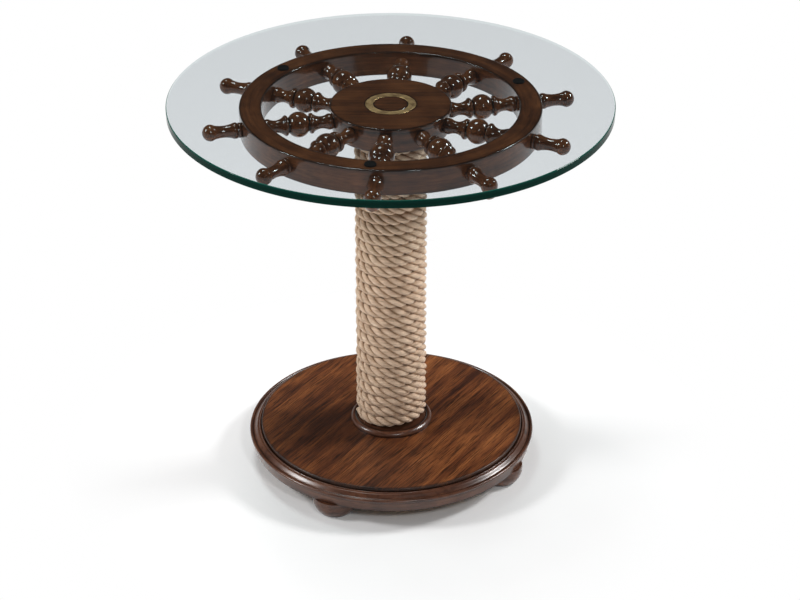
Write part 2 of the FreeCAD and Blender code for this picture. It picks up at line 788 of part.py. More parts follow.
def make_base_moulding():
    """From the floor up: a band that leans out, a quirk, a bead, a shallow cove and a thin lip."""
    bottom = size.foot_height
    foot = base_radius - size.moulding_foot_inset
    band = base_radius - size.moulding_band_inset
    quirk = band - size.moulding_quirk
    cove_foot = base_radius - size.moulding_bead_inset
    band_top = bottom + size.moulding_band_height
    bead_bottom = band_top + size.moulding_quirk
    bead_top = bead_bottom + size.moulding_bead_height
    groove = panel_radius + size.panel_groove_width
    lip_outer = groove + size.moulding_lip_width
    lip_middle = groove + size.moulding_lip_width / 2
    lip_top = core_top + size.moulding_lip_height
    lip_side = lip_top - size.moulding_lip_width / 2
    core_edge = core_radius + size.fit_clearance
    keep(turned(
        "base_moulding", "V_Axis",
        (core_edge, bottom),
        line(foot, bottom),
        line(band, band_top),
        line(quirk, bead_bottom),
        arc(base_radius, between(bead_bottom, bead_top, BEAD_CREST_SHARE), cove_foot, bead_top),
        arc(between(cove_foot, lip_outer, MIDDLE_SHARE),
            between(bead_top, lip_side, MIDDLE_SHARE) - size.moulding_cove_depth, lip_outer, lip_side),
        arc(lip_middle, lip_top, groove, lip_side),
        line(groove, core_top),
        line(core_edge, core_top)))


def make_feet():
    """Each bun foot has a glide below and is held to the core by a bolt."""
    bottom = size.glide_thickness
    hole_floor = size.foot_height - size.foot_bolt_depth - size.rest_clearance
    bolt_bottom = size.foot_height - size.foot_bolt_depth
    bolts = []
    glides = []
    for corner_number in range(FOOT_COUNT):
        angle = size.foot_angle.value + FULL_TURN * corner_number / FOOT_COUNT
        foot = turned(
            f"bun_foot_{corner_number + 1}", "V_Axis",
            (0, bottom),
            line(size.foot_bottom_diameter / 2, bottom),
            arc(size.foot_diameter / 2, between(bottom, size.foot_height, FOOT_CREST_SHARE),
                size.foot_top_diameter / 2, size.foot_height),
            line(foot_hole_radius, size.foot_height),
            line(foot_hole_radius, hole_floor),
            line(0, hole_floor))
        keep(place_round(foot, foot_circle_radius, angle, 0))
        bolt = rod(f"foot_bolt_{corner_number + 1}", foot_bolt_radius,
                   size.foot_bolt_depth + size.core_bolt_depth)
        bolts.append(place_round(bolt, foot_circle_radius, angle, bolt_bottom))
        glide = rod(f"foot_glide_{corner_number + 1}", size.glide_diameter / 2, size.glide_thickness)
        glides.append(place_round(glide, foot_circle_radius, angle, 0))
    group("foot_bolts", bolts)
    group("foot_glides", glides)


def check_and_write():
    """Writes every piece once the whole document is sound."""
    doc.recompute()
    for item in doc.Objects:
        if "Invalid" in item.State or "Error" in item.State:
            raise ValueError(f"{item.Label} failed: {item.State}")
    for piece in pieces:
        if piece.Shape.isNull() or not piece.Shape.isValid():
            raise ValueError(f"{piece.Label} has no sound shape")
    os.makedirs("parts", exist_ok=True)
    for piece in pieces:
        piece.Shape.exportStep(f"parts/{piece.Label}.step")
    print(f"wrote {len(pieces)} pieces")


make_glass()
make_bumpers()
for felloe_number in range(felloe_count):
    make_felloe(felloe_number)
make_rim_dowels()
for spoke_number in range(SPOKE_COUNT):
    make_spoke(spoke_number)
    make_handle(spoke_number)
make_hub()
make_hub_cap()
make_inlay()
make_post()
make_rope()
make_tie_rod()
make_collar()
make_base_core()
make_base_panel()
make_base_moulding()
make_feet()
check_and_write()
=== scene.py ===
import math
import random

import bpy
from mathutils import Matrix, Vector


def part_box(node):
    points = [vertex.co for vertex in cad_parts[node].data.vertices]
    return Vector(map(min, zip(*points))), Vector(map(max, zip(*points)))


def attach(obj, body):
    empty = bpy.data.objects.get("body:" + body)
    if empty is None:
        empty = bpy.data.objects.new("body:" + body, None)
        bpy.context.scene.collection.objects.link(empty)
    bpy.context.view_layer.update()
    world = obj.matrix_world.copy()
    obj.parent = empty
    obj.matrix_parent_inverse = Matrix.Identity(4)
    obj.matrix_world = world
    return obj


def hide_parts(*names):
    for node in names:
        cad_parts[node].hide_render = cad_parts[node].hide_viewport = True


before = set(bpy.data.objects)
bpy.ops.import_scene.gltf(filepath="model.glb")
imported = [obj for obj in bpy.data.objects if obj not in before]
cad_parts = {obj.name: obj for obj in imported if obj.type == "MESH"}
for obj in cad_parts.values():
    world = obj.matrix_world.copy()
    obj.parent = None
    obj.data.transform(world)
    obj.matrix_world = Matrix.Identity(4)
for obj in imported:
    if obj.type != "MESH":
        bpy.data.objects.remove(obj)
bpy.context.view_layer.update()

MM = 0.001
FULL_TURN = 2 * math.pi
HALF_ROOT = math.sqrt(0.5)
UPRIGHT = Vector((0, 0, 1))
ALONG_X = Vector((1, 0, 0))

# Counts that the wheel and the base share with the frame
SPOKE_COUNT = 10
FELLOE_COUNT = 5
FOOT_COUNT = 4

# Heights and radii that the frame gives, in metres
glass_low, glass_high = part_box("glass_top")
glass_radius = glass_high.x
rim_low, rim_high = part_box("rim_felloe_1")
rim_outer = rim_high.x
wheel_bottom = rim_low.z
wheel_top = rim_high.z
wheel_middle = (wheel_bottom + wheel_top) / 2
hub_low, hub_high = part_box("hub_body")
hub_radius = hub_high.x
hub_bottom = hub_low.z
cap_low, cap_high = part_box("hub_cap")
cap_radius = cap_high.x
cap_bottom = cap_low.z
brass_low, brass_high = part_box("brass_ring")
brass_radius = brass_high.x
plug_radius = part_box("hub_plug")[1].x
post_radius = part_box("column_post")[1].x
column_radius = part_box("rope_winding")[1].y
collar_low, collar_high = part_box("base_collar")
panel_low, panel_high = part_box("base_panel")
panel_radius = panel_high.x
panel_top = panel_high.z
moulding_low, moulding_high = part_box("base_moulding")
base_radius = moulding_high.x
core_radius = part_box("base_core")[1].x

# Sizes that several pieces need and the boxes don't show
FIT = 0.15 * MM
RIM_WIDTH = 33.2 * MM
ROD_BORE = 6.5 * MM
PANEL_BORE = 24.15 * MM
COLLAR_FLOOR_DROP = 1.3 * MM

# The rope: three strands laid together and wound up the column
STRAND_COUNT = 3
STRAND_RADIUS = 4.6 * MM
STRAND_REACH = 4.8 * MM
ROPE_LAY = 46.5 * MM
ROPE_TURNS = 26.5
ROPE_POINTS_PER_TURN = 16
ROPE_START = math.radians(168)
YARN_TURNS = 160
rope_radius = STRAND_REACH + STRAND_RADIUS
winding_radius = column_radius - rope_radius
rope_bottom = collar_high.z - COLLAR_FLOOR_DROP + rope_radius
rope_top = hub_bottom - rope_radius
rise_per_turn = (rope_top - rope_bottom) / ROPE_TURNS

# Stray fibres on the rope
FIBRE_COUNT = 700
FIBRE_POINTS = 4
FIBRE_RADIUS = 0.12 * MM

# Faces round a turned piece, and along one felloe
PLATE_STEPS = 256
BASE_STEPS = 192
HUB_STEPS = 128
BUTTON_STEPS = 96
FOOT_STEPS = 72
SPOKE_STEPS = 48
FELLOE_STEPS = 40
# A straight stretch of an outline has a point at least this often, so that the glaze and painted shade
# show on it
ROW = 2.5 * MM

# The camera's turn about the column. The grain of the hub's cap and button runs across its view
HEADING = math.radians(-12.6)
# Places along the grain are drawn together to this share, which makes the figure long
GRAIN_SHARE = 0.06
VENEER_GRAIN_SHARE = 0.03
VENEER_HEADING = math.radians(45)
# The veneer is painted darker about this spot, left of the column: mostly a painted shadow of the
# column, partly the veneer's darker figure
SHADOW_AND_FIGURE_SPOT = (-0.117, -0.007, panel_top)


# Modelling

def deselect():
    bpy.ops.object.select_all(action="DESELECT")


def between(start, end, share):
    """The value that lies a share of the way from start to end."""
    return start + (end - start) * share


def bow(first, middle, last, steps=8):
    """Points on the arc from first through middle to last, without first."""
    a, b, c = Vector(first), Vector(middle), Vector(last)
    ab, ac = b - a, c - a
    twice = 2 * (ab.x * ac.y - ab.y * ac.x)
    across = Vector((ac.y * ab.length_squared - ab.y * ac.length_squared,
                     ab.x * ac.length_squared - ac.x * ab.length_squared))
    centre = a + across / twice
    start = math.atan2(a.y - centre.y, a.x - centre.x)
    turn_way = FULL_TURN if twice > 0 else -FULL_TURN
    sweep = math.fmod(math.atan2(c.y - centre.y, c.x - centre.x) - start + turn_way, turn_way)
    radius = (a - centre).length
    angles = [start + sweep * step / steps for step in range(1, steps + 1)]
    return [centre + radius * Vector((math.cos(angle), math.sin(angle))) for angle in angles]


def ease_corner(before, corner, after, radius, steps=4):
    """A corner of an outline, rounded off with a radius."""
    come = (Vector(before) - Vector(corner)).normalized()
    leave = (Vector(after) - Vector(corner)).normalized()
    half = come.angle(leave) / 2
    reach = radius / math.tan(half)
    inward = (come + leave).normalized()
    middle = Vector(corner) + inward * (radius / math.sin(half) - radius)
    first = Vector(corner) + come * reach
    return [first] + bow(first, middle, Vector(corner) + leave * reach, steps)


def ease_third(corners, radius):
    """A closed outline through some corners, the third of them rounded off."""
    return corners[:2] + ease_corner(*corners[1:4], radius) + corners[3:] + corners[:1]


def divide(outline):
    """An outline with points added where a straight stretch is long."""
    points = [Vector(outline[0])]
    for spot in outline[1:]:
        start, end = points[-1], Vector(spot)
        parts = math.ceil((end - start).length / ROW)
        points += [start.lerp(end, part / parts) for part in range(1, parts + 1)]
    return points


def trace(name, outline):
    """Starts a piece in edit mode as one vertex, extruded along an outline in the XZ plane."""
    deselect()
    bpy.ops.mesh.primitive_plane_add(size=MM)
    piece = bpy.context.object
    piece.name = name
    piece.data.name = name
    bpy.ops.object.mode_set(mode="EDIT")
    bpy.ops.mesh.merge(type="CENTER")
    spots = [Vector((point[0], 0, point[1])) for point in outline]
    bpy.ops.transform.translate(value=spots[0])
    for here, there in zip(spots, spots[1:]):
        bpy.ops.mesh.extrude_region_move(TRANSFORM_OT_translate={"value": there - here})
    return piece


def turn(name, outline, steps, axis=UPRIGHT, height=0.0, angle=FULL_TURN, sharp=40):
    """Spins an outline about an upright axis, or about a level one at a height, as on a lathe."""
    piece = trace(name, outline)
    bpy.ops.mesh.select_all(action="SELECT")
    bpy.ops.mesh.spin(steps=steps, angle=angle, center=(0, 0, height), axis=axis)
    bpy.ops.mesh.select_all(action="SELECT")
    bpy.ops.mesh.remove_doubles(threshold=0.001 * MM)
    bpy.ops.mesh.select_all(action="DESELECT")
    bpy.ops.mesh.select_non_manifold()
    bpy.ops.mesh.fill_holes(sides=0)
    bpy.ops.mesh.select_all(action="SELECT")
    bpy.ops.mesh.normals_make_consistent(inside=False)
    bpy.ops.object.mode_set(mode="OBJECT")
    bpy.ops.object.shade_smooth_by_angle(angle=math.radians(sharp))
    return piece


def copy_turned(model, name, angle):
    """A copy of a modelled piece with a mesh of its own, turned about the column."""
    piece = model.copy()
    piece.data = model.data.copy()
    piece.name = name
    piece.data.name = name
    piece.data.transform(Matrix.Rotation(angle, 4, "Z"))
    bpy.context.scene.collection.objects.link(piece)
    return piece


def lay_grain(piece, spots):
    """Keeps where each point of a piece lies in its board, for the wood finish to read."""
    attribute = piece.data.attributes.new("grain", "FLOAT_VECTOR", "POINT")
    attribute.data.foreach_set("vector", [number for spot in spots for number in spot])


def straight_grain(piece, board, angle=0.0, share=GRAIN_SHARE):
    """The grain of a straight board with a number of its own, at an angle to the first spoke."""
    back = Matrix.Rotation(-angle, 3, "Z")
    spots = [back @ point.co for point in piece.data.vertices]
    lay_grain(piece, [(spot.x * share + board, spot.y, spot.z) for spot in spots])


def round_grain(piece, board=0):
    """The grain of a ring, which runs round the column."""
    spots = []
    for point in piece.data.vertices:
        x, y, z = point.co
        spots.append((x * GRAIN_SHARE + board, y * GRAIN_SHARE, math.hypot(x, y) + z))
    lay_grain(piece, spots)


def gather_glaze_and_shade(piece, place, corners, width):
    """Keeps how much dark glaze and painted shade lies at each point, most of it at some corners of the
    section.
    """
    amounts = []
    for point in piece.data.vertices:
        spot = Vector(place(point.co))
        nearest = min((spot - Vector(corner)).length for corner in corners)
        amounts.append(math.exp(-(nearest / width) ** 2))
    piece.data.attributes.new("glaze_and_shade", "FLOAT", "POINT").data.foreach_set("value", amounts)


def about_column(spot):
    """How far a point lies from the column's axis, and its height."""
    return math.hypot(spot.x, spot.y), spot.z


def about_spoke(spot):
    """How far a point lies along the first spoke, and how far from that spoke's axis."""
    return spot.x, math.hypot(spot.y, spot.z - wheel_middle)


def finish_piece(piece, material, slot, *nodes, body="table_frame"):
    """Gives a piece its finish and its place in the frame."""
    piece.data.materials.clear()
    piece.data.materials.append(material)
    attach(piece, body)
    if nodes:
        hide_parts(*nodes)


# Finishes

def new_finish(name):
    """A new material, its node tree and its main shader."""
    material = bpy.data.materials.new(name)
    material.use_nodes = True
    tree = material.node_tree
    return material, tree, tree.nodes["Principled BSDF"]


def add(tree, kind, inputs=None, **settings):
    """Adds a node, sets it up, and links or sets its inputs."""
    node = tree.nodes.new(f"ShaderNode{kind}")
    for name, value in settings.items():
        setattr(node, name, value)
    for key, value in (inputs or {}).items():
        if isinstance(value, bpy.types.NodeSocket):
            tree.links.new(value, node.inputs[key])
        else:
            node.inputs[key].default_value = value
    return node


def own_spot(tree):
    """Where the shaded point lies in the piece's own space."""
    return add(tree, "TexCoord").outputs["Object"]


def kept(tree, name, output):
    """What a piece keeps at each point under a name."""
    return add(tree, "Attribute", attribute_name=name).outputs[output]


def noise(tree, vector, scale, detail=3.0, roughness=0.5, distortion=0.0):
    inputs = {"Vector": vector, "Scale": scale, "Detail": detail, "Roughness": roughness,
              "Distortion": distortion}
    return add(tree, "TexNoise", inputs).outputs["Fac"]


def ramp(tree, factor, *stops):
    """A colour ramp through stops of a place and a colour or a grey."""
    node = add(tree, "ValToRGB", {"Fac": factor})
    bands = node.color_ramp.elements
    while len(bands) < len(stops):
        bands.new(0.5)
    for band, (place, colour) in zip(bands, stops):
        band.position = place
        band.color = (*colour, 1) if isinstance(colour, tuple) else (colour, colour, colour, 1)
    return node.outputs["Color"]


def math_of(tree, operation, first, second=0.0):
    return add(tree, "Math", {0: first, 1: second}, operation=operation).outputs["Value"]


def blend(tree, *shares):
    """The sum of some textures, each with its share."""
    total = 0.0
    for texture, share in shares:
        total = math_of(tree, "ADD", math_of(tree, "MULTIPLY", texture, share), total)
    return total


def span(tree, value, low, high, start=0.0, end=1.0):
    """Maps a value that runs from start to end onto low to high."""
    inputs = {"Value": value, "From Min": start, "From Max": end, "To Min": low, "To Max": high}
    return add(tree, "MapRange", inputs).outputs["Result"]


def darken(tree, colour, shade, share=1.0):
    """A colour multiplied by a shade."""
    node = add(tree, "Mix", data_type="RGBA", blend_type="MULTIPLY")
    sockets = {socket.identifier: socket for socket in node.inputs}
    sockets["Factor_Float"].default_value = share
    tree.links.new(colour, sockets["A_Color"])
    tree.links.new(shade, sockets["B_Color"])
    return next(socket for socket in node.outputs if socket.identifier == "Result_Color")


def dress(tree, shader, colour, rough, height, depth, strength):
    """Links colour, roughness and bump to a shader."""
    tree.links.new(colour, shader.inputs["Base Color"])
    tree.links.new(rough, shader.inputs["Roughness"])
    relief = add(tree, "Bump", {"Height": height, "Distance": depth, "Strength": strength})
    tree.links.new(relief.outputs["Normal"], shader.inputs["Normal"])


def stained_wood(name, deep, mid, light, haze):
    """Close-grained wood under dark stain, dark glaze and painted shade in its corners, and a lacquer
    with some haze.
    """
    material, tree, shader = new_finish(name)
    grain = kept(tree, "grain", "Vector")
    glaze_and_shade = kept(tree, "glaze_and_shade", "Fac")
    figure = noise(tree, grain, scale=150, detail=4, roughness=0.6, distortion=0.4)
    fibre = noise(tree, grain, scale=1300, detail=2)
    cloud = noise(tree, own_spot(tree), scale=24, detail=2)
    tone = blend(tree, (figure, 0.6), (cloud, 0.4))
    colour = ramp(tree, tone, (0.36, deep), (0.52, mid), (0.68, light))
    colour = darken(tree, colour, ramp(tree, fibre, (0.34, 0.45), (0.50, 1.0)), share=0.7)
    # Painted shade: darker towards corners and crevices, on top of a real dark glaze there
    colour = darken(tree, colour, ramp(tree, glaze_and_shade, (0.0, 1.0), (1.0, 0.10)))
    rough = span(tree, fibre, 0.25, 0.38)
    dress(tree, shader, colour, rough, fibre, depth=0.05 * MM, strength=0.4)
    shader.inputs["Specular IOR Level"].default_value = 0.08
    shader.inputs["Coat Weight"].default_value = 1.0
    shader.inputs["Coat Roughness"].default_value = haze
    return material


def panel_veneer():
    """Open-grained veneer: a red-brown ground with broad bands, fine dark lines and short pores, a
    painted shadow beside the column and painted shade down its edge.
    """
    material, tree, shader = new_finish("panel_veneer")
    grain = kept(tree, "grain", "Vector")
    glaze_and_shade = kept(tree, "glaze_and_shade", "Fac")
    spot = own_spot(tree)
    sway = math_of(tree, "MULTIPLY", noise(tree, spot, scale=7, detail=1), 0.010)
    drift = add(tree, "CombineXYZ", {"Y": sway}).outputs["Vector"]
    swayed = add(tree, "VectorMath", {0: grain, 1: drift}, operation="ADD").outputs["Vector"]
    bands = noise(tree, swayed, scale=70, detail=3, roughness=0.55)
    lines = noise(tree, swayed, scale=640, detail=3, roughness=0.6)
    pores = noise(tree, swayed, scale=1700, detail=1)
    cloud = noise(tree, spot, scale=9, detail=2)
    tone = blend(tree, (bands, 0.62), (cloud, 0.38))
    colour = ramp(tree, tone, (0.38, (0.060, 0.0172, 0.0070)), (0.46, (0.118, 0.0345, 0.0112)),
                  (0.54, (0.190, 0.0585, 0.0175)), (0.64, (0.29, 0.098, 0.029)))
    colour = darken(tree, colour, ramp(tree, lines, (0.40, 0.10), (0.50, 1.0)), share=0.9)
    colour = darken(tree, colour, ramp(tree, pores, (0.36, 0.30), (0.48, 1.0)), share=0.7)
    # Painted shadow of the column on the panel, with some darker figure, about one spot
    off_shadow_and_figure_spot = add(tree, "VectorMath", {0: spot, 1: SHADOW_AND_FIGURE_SPOT}, operation="DISTANCE").outputs["Value"]
    colour = darken(tree, colour, ramp(tree, off_shadow_and_figure_spot, (0.0, 0.58), (0.22, 1.0)))
    # Painted shade down the panel's edge
    colour = darken(tree, colour, ramp(tree, glaze_and_shade, (0.0, 1.0), (1.0, 0.08)))
    rough = span(tree, pores, 0.52, 0.36)
    dress(tree, shader, colour, rough, pores, depth=0.12 * MM, strength=0.5)
    shader.inputs["Specular IOR Level"].default_value = 0.3
    shader.inputs["Coat Weight"].default_value = 0.12
    shader.inputs["Coat Roughness"].default_value = 0.2
    return material


def let_light_through(tree, surface):
    """Lets lamps shine through a glass surface, a little dimmed, and lacquer mirror them through it."""
    path = add(tree, "LightPath").outputs
    through = add(tree, "BsdfTransparent", {"Color": (0.82, 0.87, 0.87, 1)}).outputs["BSDF"]
    # A ray that the plate itself bends also counts as glossy, and keeps the real surface
    mirrored = add(tree, "MixShader", {0: path["Is Transmission Ray"], 1: through, 2: surface})
    seen_by = {"Is Glossy Ray": mirrored.outputs["Shader"], "Is Diffuse Ray": through,
               "Is Shadow Ray": through}
    for rays, seen in seen_by.items():
        surface = add(tree, "MixShader", {0: path[rays], 1: surface, 2: seen}).outputs["Shader"]
    tree.links.new(surface, tree.nodes["Material Output"].inputs["Surface"])


def clear_glass():
    """Polished float glass, nearly clear through the plate."""
    material, tree, shader = new_finish("clear_glass")
    shader.inputs["Base Color"].default_value = (0.825, 0.868, 0.892, 1)
    shader.inputs["Roughness"].default_value = 0.0
    shader.inputs["IOR"].default_value = 1.52
    shader.inputs["Transmission Weight"].default_value = 1.0
    let_light_through(tree, shader.outputs["BSDF"])
    return material


def glass_edge():
    """The edge of the plate: dark green from outside, with painted highlights on its arrises, and clear
    from within.
    """
    material, tree, shader = new_finish("glass_edge")
    parts = add(tree, "SeparateXYZ", {"Vector": own_spot(tree)})
    rise = span(tree, parts.outputs["Z"], 0.0, 1.0, glass_low.z, glass_high.z)
    # The arrises are painted paler: painted highlights where they would mirror the floor
    colour = ramp(tree, rise, (0.0, (0.006, 0.060, 0.044)), (0.11, (0.001, 0.028, 0.020)),
                  (0.5, (0.0005, 0.020, 0.014)), (0.89, (0.001, 0.030, 0.022)),
                  (1.0, (0.02, 0.12, 0.09)))
    tree.links.new(colour, shader.inputs["Base Color"])
    shader.inputs["Roughness"].default_value = 0.04
    shader.inputs["Specular IOR Level"].default_value = 0.04
    inner = add(tree, "BsdfTransparent", {"Color": (0.86, 0.90, 0.90, 1)}).outputs["BSDF"]
    from_within = add(tree, "NewGeometry").outputs["Backfacing"]
    sides = add(tree, "MixShader", {0: from_within, 1: shader.outputs["BSDF"], 2: inner})
    let_light_through(tree, sides.outputs["Shader"])
    return material


def brushed_brass():
    """Aged brass, brushed round the hub."""
    material, tree, shader = new_finish("brushed_brass")
    spot = own_spot(tree)
    parts = add(tree, "SeparateXYZ", {"Vector": spot}).outputs
    level = add(tree, "CombineXYZ", {"X": parts["X"], "Y": parts["Y"]}).outputs["Vector"]
    radius = add(tree, "VectorMath", {0: level}, operation="LENGTH").outputs["Value"]
    rings = add(tree, "CombineXYZ", {"X": radius}).outputs["Vector"]
    brushing = noise(tree, rings, scale=2600, detail=4, roughness=0.7)
    tarnish = noise(tree, spot, scale=90, detail=4)
    colour = ramp(tree, tarnish, (0.32, (0.46, 0.265, 0.118)), (0.62, (0.90, 0.58, 0.27)))
    rough = span(tree, brushing, 0.40, 0.56)
    dress(tree, shader, colour, rough, brushing, depth=0.30 * MM, strength=0.8)
    shader.inputs["Metallic"].default_value = 1.0
    return material


def jute():
    """Jute yarns twisted along each strand, pale on the strands' crowns, with painted shade that makes
    them brown between the strands.
    """
    material, tree, shader = new_finish("jute_rope")
    strand_gap_shade = kept(tree, "glaze_and_shade", "Fac")
    uv = add(tree, "UVMap", uv_map="UVMap").outputs["UV"]
    place = add(tree, "SeparateXYZ", {"Vector": uv}).outputs
    spot = own_spot(tree)
    run = math_of(tree, "MULTIPLY", place["X"], YARN_TURNS)
    angle = math_of(tree, "MULTIPLY", math_of(tree, "ADD", place["Y"], run), FULL_TURN)
    round_strand = {"X": run, "Y": math_of(tree, "COSINE", angle), "Z": math_of(tree, "SINE", angle)}
    twisted = add(tree, "CombineXYZ", round_strand).outputs["Vector"]
    yarns = noise(tree, twisted, scale=3.2, detail=4, roughness=0.65)
    fluff = noise(tree, spot, scale=1100, detail=3, roughness=0.7)
    cloud = noise(tree, spot, scale=60, detail=2)
    tone = blend(tree, (yarns, 0.5), (fluff, 0.28), (cloud, 0.22))
    colour = ramp(tree, tone, (0.34, (0.27, 0.165, 0.100)), (0.5, (0.69, 0.500, 0.350)),
                  (0.66, (0.93, 0.745, 0.57)))
    # Painted shade in the crevices between the strands
    colour = darken(tree, colour, ramp(tree, strand_gap_shade, (0.18, 1.0), (0.46, (0.50, 0.40, 0.31))))
    rough = span(tree, fluff, 0.8, 1.0)
    height = blend(tree, (yarns, 1.0), (fluff, 0.6))
    dress(tree, shader, colour, rough, height, depth=0.7 * MM, strength=0.8)
    shader.inputs["Sheen Weight"].default_value = 0.2
    return material


def plain_finish(name, dark, light, rough, scale, metallic=0.0, shine=0.5):
    """A quiet mottled finish for small and hidden pieces."""
    material, tree, shader = new_finish(name)
    mottle = noise(tree, own_spot(tree), scale, detail=4)
    colour = ramp(tree, mottle, (0.3, dark), (0.7, light))
    uneven = span(tree, mottle, rough - 0.08, rough + 0.08)
    dress(tree, shader, colour, uneven, mottle, depth=0.03 * MM, strength=0.4)
    shader.inputs["Metallic"].default_value = metallic
    shader.inputs["Specular IOR Level"].default_value = shine
    return material


wheel_wood = stained_wood("wheel_wood", deep=(0.041, 0.0120, 0.0046), mid=(0.108, 0.034, 0.0114),
                          light=(0.185, 0.063, 0.0220), haze=0.075)
base_wood = stained_wood("turned_base_wood", deep=(0.050, 0.0175, 0.0095),
                         mid=(0.102, 0.0380, 0.0195), light=(0.152, 0.061, 0.031), haze=0.27)
veneer = panel_veneer()
plate_glass = clear_glass()
edge_glass = glass_edge()
brass = brushed_brass()
rope_jute = jute()
rubber = plain_finish("black_rubber", dark=(0.004, 0.004, 0.004), light=(0.010, 0.009, 0.009),
                      rough=0.6, scale=400, shine=0.05)
bare_wood = plain_finish("bare_wood", dark=(0.22, 0.13, 0.07), light=(0.42, 0.29, 0.17),
                         rough=0.7, scale=60)
steel = plain_finish("zinc_steel", dark=(0.42, 0.43, 0.45), light=(0.62, 0.62, 0.62),
                     rough=0.35, scale=300, metallic=1.0)
nylon = plain_finish("glide_plastic", dark=(0.28, 0.28, 0.27), light=(0.36, 0.36, 0.35),
                     rough=0.55, scale=200)


# Pieces

def make_glass():
    """A round plate with a flat polished edge and small arrises."""
    arris = 1.2 * MM
    level = 0.9
    low, high = glass_low.z, glass_high.z
    outline = [(0, low), (glass_radius - arris, low), (glass_radius, low + arris),
               (glass_radius, high - arris), (glass_radius - arris, high), (0, high)]
    plate = turn("glass_plate", outline, PLATE_STEPS, sharp=20)
    finish_piece(plate, plate_glass, "clear_glass", "glass_top", body="glass")
    plate.data.materials.append(edge_glass)
    for face in plate.data.polygons:
        face.material_index = 0 if abs(face.normal.z) > level else 1


def make_rim():
    """Five felloes with one run of grain, so that their joints hardly show."""
    inner = rim_outer - RIM_WIDTH
    ease = 2.0 * MM
    corners = [(inner, wheel_bottom), (rim_outer, wheel_bottom), (rim_outer, wheel_top),
               (inner, wheel_top)]
    outline = []
    for index, corner in enumerate(corners):
        following = corners[(index + 1) % len(corners)]
        outline += ease_corner(corners[index - 1], corner, following, ease)
    outline.append(outline[0])
    step = FULL_TURN / FELLOE_COUNT
    half_bay = FULL_TURN / SPOKE_COUNT / 2
    model = turn("felloe_model", divide(outline), FELLOE_STEPS, angle=step, sharp=60)
    # Dark glaze and painted shade along the rim's edges
    gather_glaze_and_shade(model, about_column, corners, width=2.4 * MM)
    for index in range(FELLOE_COUNT):
        felloe = copy_turned(model, f"felloe_{index + 1}", step * index - half_bay)
        round_grain(felloe)
        finish_piece(felloe, wheel_wood, "wheel_wood", f"rim_felloe_{index + 1}")
    bpy.data.objects.remove(model)


def set_round_wheel(model, name, node, first_board):
    """Copies a turned model to each spoke's place, each copy from a board of its own."""
    for index in range(SPOKE_COUNT):
        piece = copy_turned(model, f"{name}_{index + 1}", 0)
        straight_grain(piece, board=first_board + index)
        piece.data.transform(Matrix.Rotation(FULL_TURN * index / SPOKE_COUNT, 4, "Z"))
        finish_piece(piece, wheel_wood, "wheel_wood", f"{node}_{index + 1}")
    bpy.data.objects.remove(model)


def turn_for_wheel(name, outline):
    """Turns an outline about the first spoke's axis, in the middle of the wheel's height."""
    lifted = [(point[0], wheel_middle + point[1]) for point in outline]
    return turn(name, lifted, SPOKE_STEPS, ALONG_X, wheel_middle)


def make_spokes():
    """A ball between two ring beads, and a vase shape out to each end."""
    low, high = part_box("spoke_1")
    rim_gap = 0.4 * MM
    hub_face = hub_radius + FIT
    rim_face = rim_outer - RIM_WIDTH - rim_gap
    centre = (hub_face + rim_face) / 2
    # How far the ball, the groove and the ring bead reach from the middle of the spoke
    ball, groove, ring = 14.3 * MM, 15.7 * MM, 22.1 * MM
    ring_crest = centre - ring + 2.8 * MM
    vase = centre - ring - hub_face
    swell_at, swell_end_at, neck_at = [hub_face + vase * share for share in (0.14, 0.32, 0.60)]
    # Radii, from the hub to the middle of the ball
    end, swell, swell_end, neck, flare = 10.4 * MM, 12.0 * MM, 11.0 * MM, 9.1 * MM, 13.6 * MM
    bead, shoulder, waist, crown = 15.4 * MM, 12.4 * MM, 11.4 * MM, (high.z - low.z) / 2
    half = [(hub_face, 0), (hub_face, end)]
    half += bow(half[-1], (swell_at, swell), (swell_end_at, swell_end))
    half += bow(half[-1], (neck_at, neck), (centre - ring, flare), steps=12)
    half += bow(half[-1], (ring_crest, bead), (centre - groove, shoulder), steps=10)
    half += [(centre - groove, waist), (centre - ball, waist)]
    middle = bow(half[-1], (centre, crown), (centre + ball, waist), steps=20)
    other = [(2 * centre - point[0], point[1]) for point in reversed(half)]
    model = turn_for_wheel("spoke_model", half + middle + other[1:])
    corners = [(hub_face, end), (rim_face, end)]
    for side in (-1, 1):
        corners += [(centre + side * groove, waist), (centre + side * ball, waist)]
    # Dark glaze and painted shade in the grooves by the ball and where the spoke meets hub and rim
    gather_glaze_and_shade(model, about_spoke, corners, width=1.1 * MM)
    set_round_wheel(model, "turned_spoke", "spoke", first_board=10)


